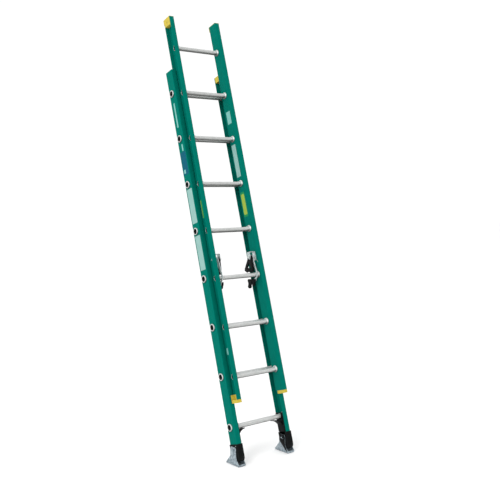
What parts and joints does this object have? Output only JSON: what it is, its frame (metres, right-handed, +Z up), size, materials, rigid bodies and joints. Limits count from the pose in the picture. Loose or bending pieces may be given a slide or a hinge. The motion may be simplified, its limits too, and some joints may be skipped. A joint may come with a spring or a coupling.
{
  "type": "extension ladder",
  "caption": "Two-section fibreglass extension ladder leaning at its working angle, with a sliding fly section, rung locks and swivel shoes.",
  "frame": {"origin": "on the floor, at the bottom centre of the ladder's box as it leans at 75.5 degrees", "axes": "+Z up, +Y towards the wall that the ladder leans on, +X to the climber's right"},
  "size_m": [0.4456, 0.7194, 2.7945],
  "materials": {
    "fibreglass": "pultruded fibreglass, satin",
    "aluminium": "extruded, fluted",
    "yellow_plastic": "moulded",
    "black_plastic": "moulded",
    "black_steel": "black coated",
    "galvanised": "galvanised",
    "zinc_steel": "zinc plated",
    "rubber": "matt"
  },
  "bodies": {
    "base_section": {"base_rail_left": "fibreglass", "base_rail_right": "fibreglass", "base_rung_1": "aluminium", "base_rung_2": "aluminium", "base_rung_3": "aluminium", "base_rung_4": "aluminium", "base_rung_5": "aluminium", "base_rung_6": "aluminium", "base_rung_7": "aluminium", "base_rung_8": "aluminium", "base_top_cap_left": "yellow_plastic", "foot_boot_left": "black_plastic", "bottom_rung_brace_left": "black_steel", "shoe_bolt_left": "zinc_steel", "shoe_nut_left": "zinc_steel", "base_top_cap_right": "yellow_plastic", "foot_boot_right": "black_plastic", "bottom_rung_brace_right": "black_steel", "shoe_bolt_right": "zinc_steel", "shoe_nut_right": "zinc_steel"},
    "fly_section": {"fly_rail_left": "fibreglass", "fly_rail_right": "fibreglass", "fly_rung_1": "aluminium", "fly_rung_2": "aluminium", "fly_rung_3": "aluminium", "fly_rung_4": "aluminium", "fly_rung_5": "aluminium", "fly_rung_6": "aluminium", "fly_rung_7": "aluminium", "fly_rung_8": "aluminium", "fly_top_cap_left": "yellow_plastic", "fly_guide_cap_left": "yellow_plastic", "lock_bracket_left": "galvanised", "lock_bolt_left": "zinc_steel", "lock_nut_left": "zinc_steel", "lock_spring_left": "zinc_steel", "fly_top_cap_right": "yellow_plastic", "fly_guide_cap_right": "yellow_plastic", "lock_bracket_right": "galvanised", "lock_bolt_right": "zinc_steel", "lock_nut_right": "zinc_steel", "lock_spring_right": "zinc_steel"},
    "lock_left": {"lock_hook_left": "black_steel", "lock_plate_left": "galvanised", "finger_pin_left": "zinc_steel"},
    "finger_left": {"lock_finger_left": "black_plastic"},
    "swivel_shoe_left": {"shoe_left": "galvanised", "shoe_pad_left": "rubber"},
    "lock_right": {"lock_hook_right": "black_steel", "lock_plate_right": "galvanised", "finger_pin_right": "zinc_steel"},
    "finger_right": {"lock_finger_right": "black_plastic"},
    "swivel_shoe_right": {"shoe_right": "galvanised", "shoe_pad_right": "rubber"}
  },
  "joints": [
    {"name": "fly_slide", "type": "slide", "parent": "base_section", "child": "fly_section", "axis": [0, 0.2504, 0.9681], "range_m": [0, 1.2192]},
    {"name": "left_lock_pivot", "type": "hinge", "parent": "fly_section", "child": "lock_left", "pos_m": [-0.1415, -0.08182, 1.22466], "axis": [-1, 0, 0], "range_deg": [0, 22], "stiffness_Nm_per_rad": 0.25, "springref_deg": -34.38},
    {"name": "left_finger_pivot", "type": "hinge", "parent": "lock_left", "child": "finger_left", "pos_m": [-0.1285, -0.09284, 1.06225], "axis": [1, 0, 0], "range_deg": [0, 20]},
    {"name": "left_shoe_swivel", "type": "hinge", "parent": "base_section", "child": "swivel_shoe_left", "pos_m": [-0.1905, -0.30967, 0.094], "axis": [-1, 0, 0], "range_deg": [-35, 80]},
    {"name": "right_lock_pivot", "type": "hinge", "parent": "fly_section", "child": "lock_right", "pos_m": [0.1415, -0.08182, 1.22466], "axis": [-1, 0, 0], "range_deg": [0, 22], "stiffness_Nm_per_rad": 0.25, "springref_deg": -34.38},
    {"name": "right_finger_pivot", "type": "hinge", "parent": "lock_right", "child": "finger_right", "pos_m": [0.1285, -0.09284, 1.06225], "axis": [1, 0, 0], "range_deg": [0, 20]},
    {"name": "right_shoe_swivel", "type": "hinge", "parent": "base_section", "child": "swivel_shoe_right", "pos_m": [0.1905, -0.30967, 0.094], "axis": [-1, 0, 0], "range_deg": [-35, 80]}
  ]
}
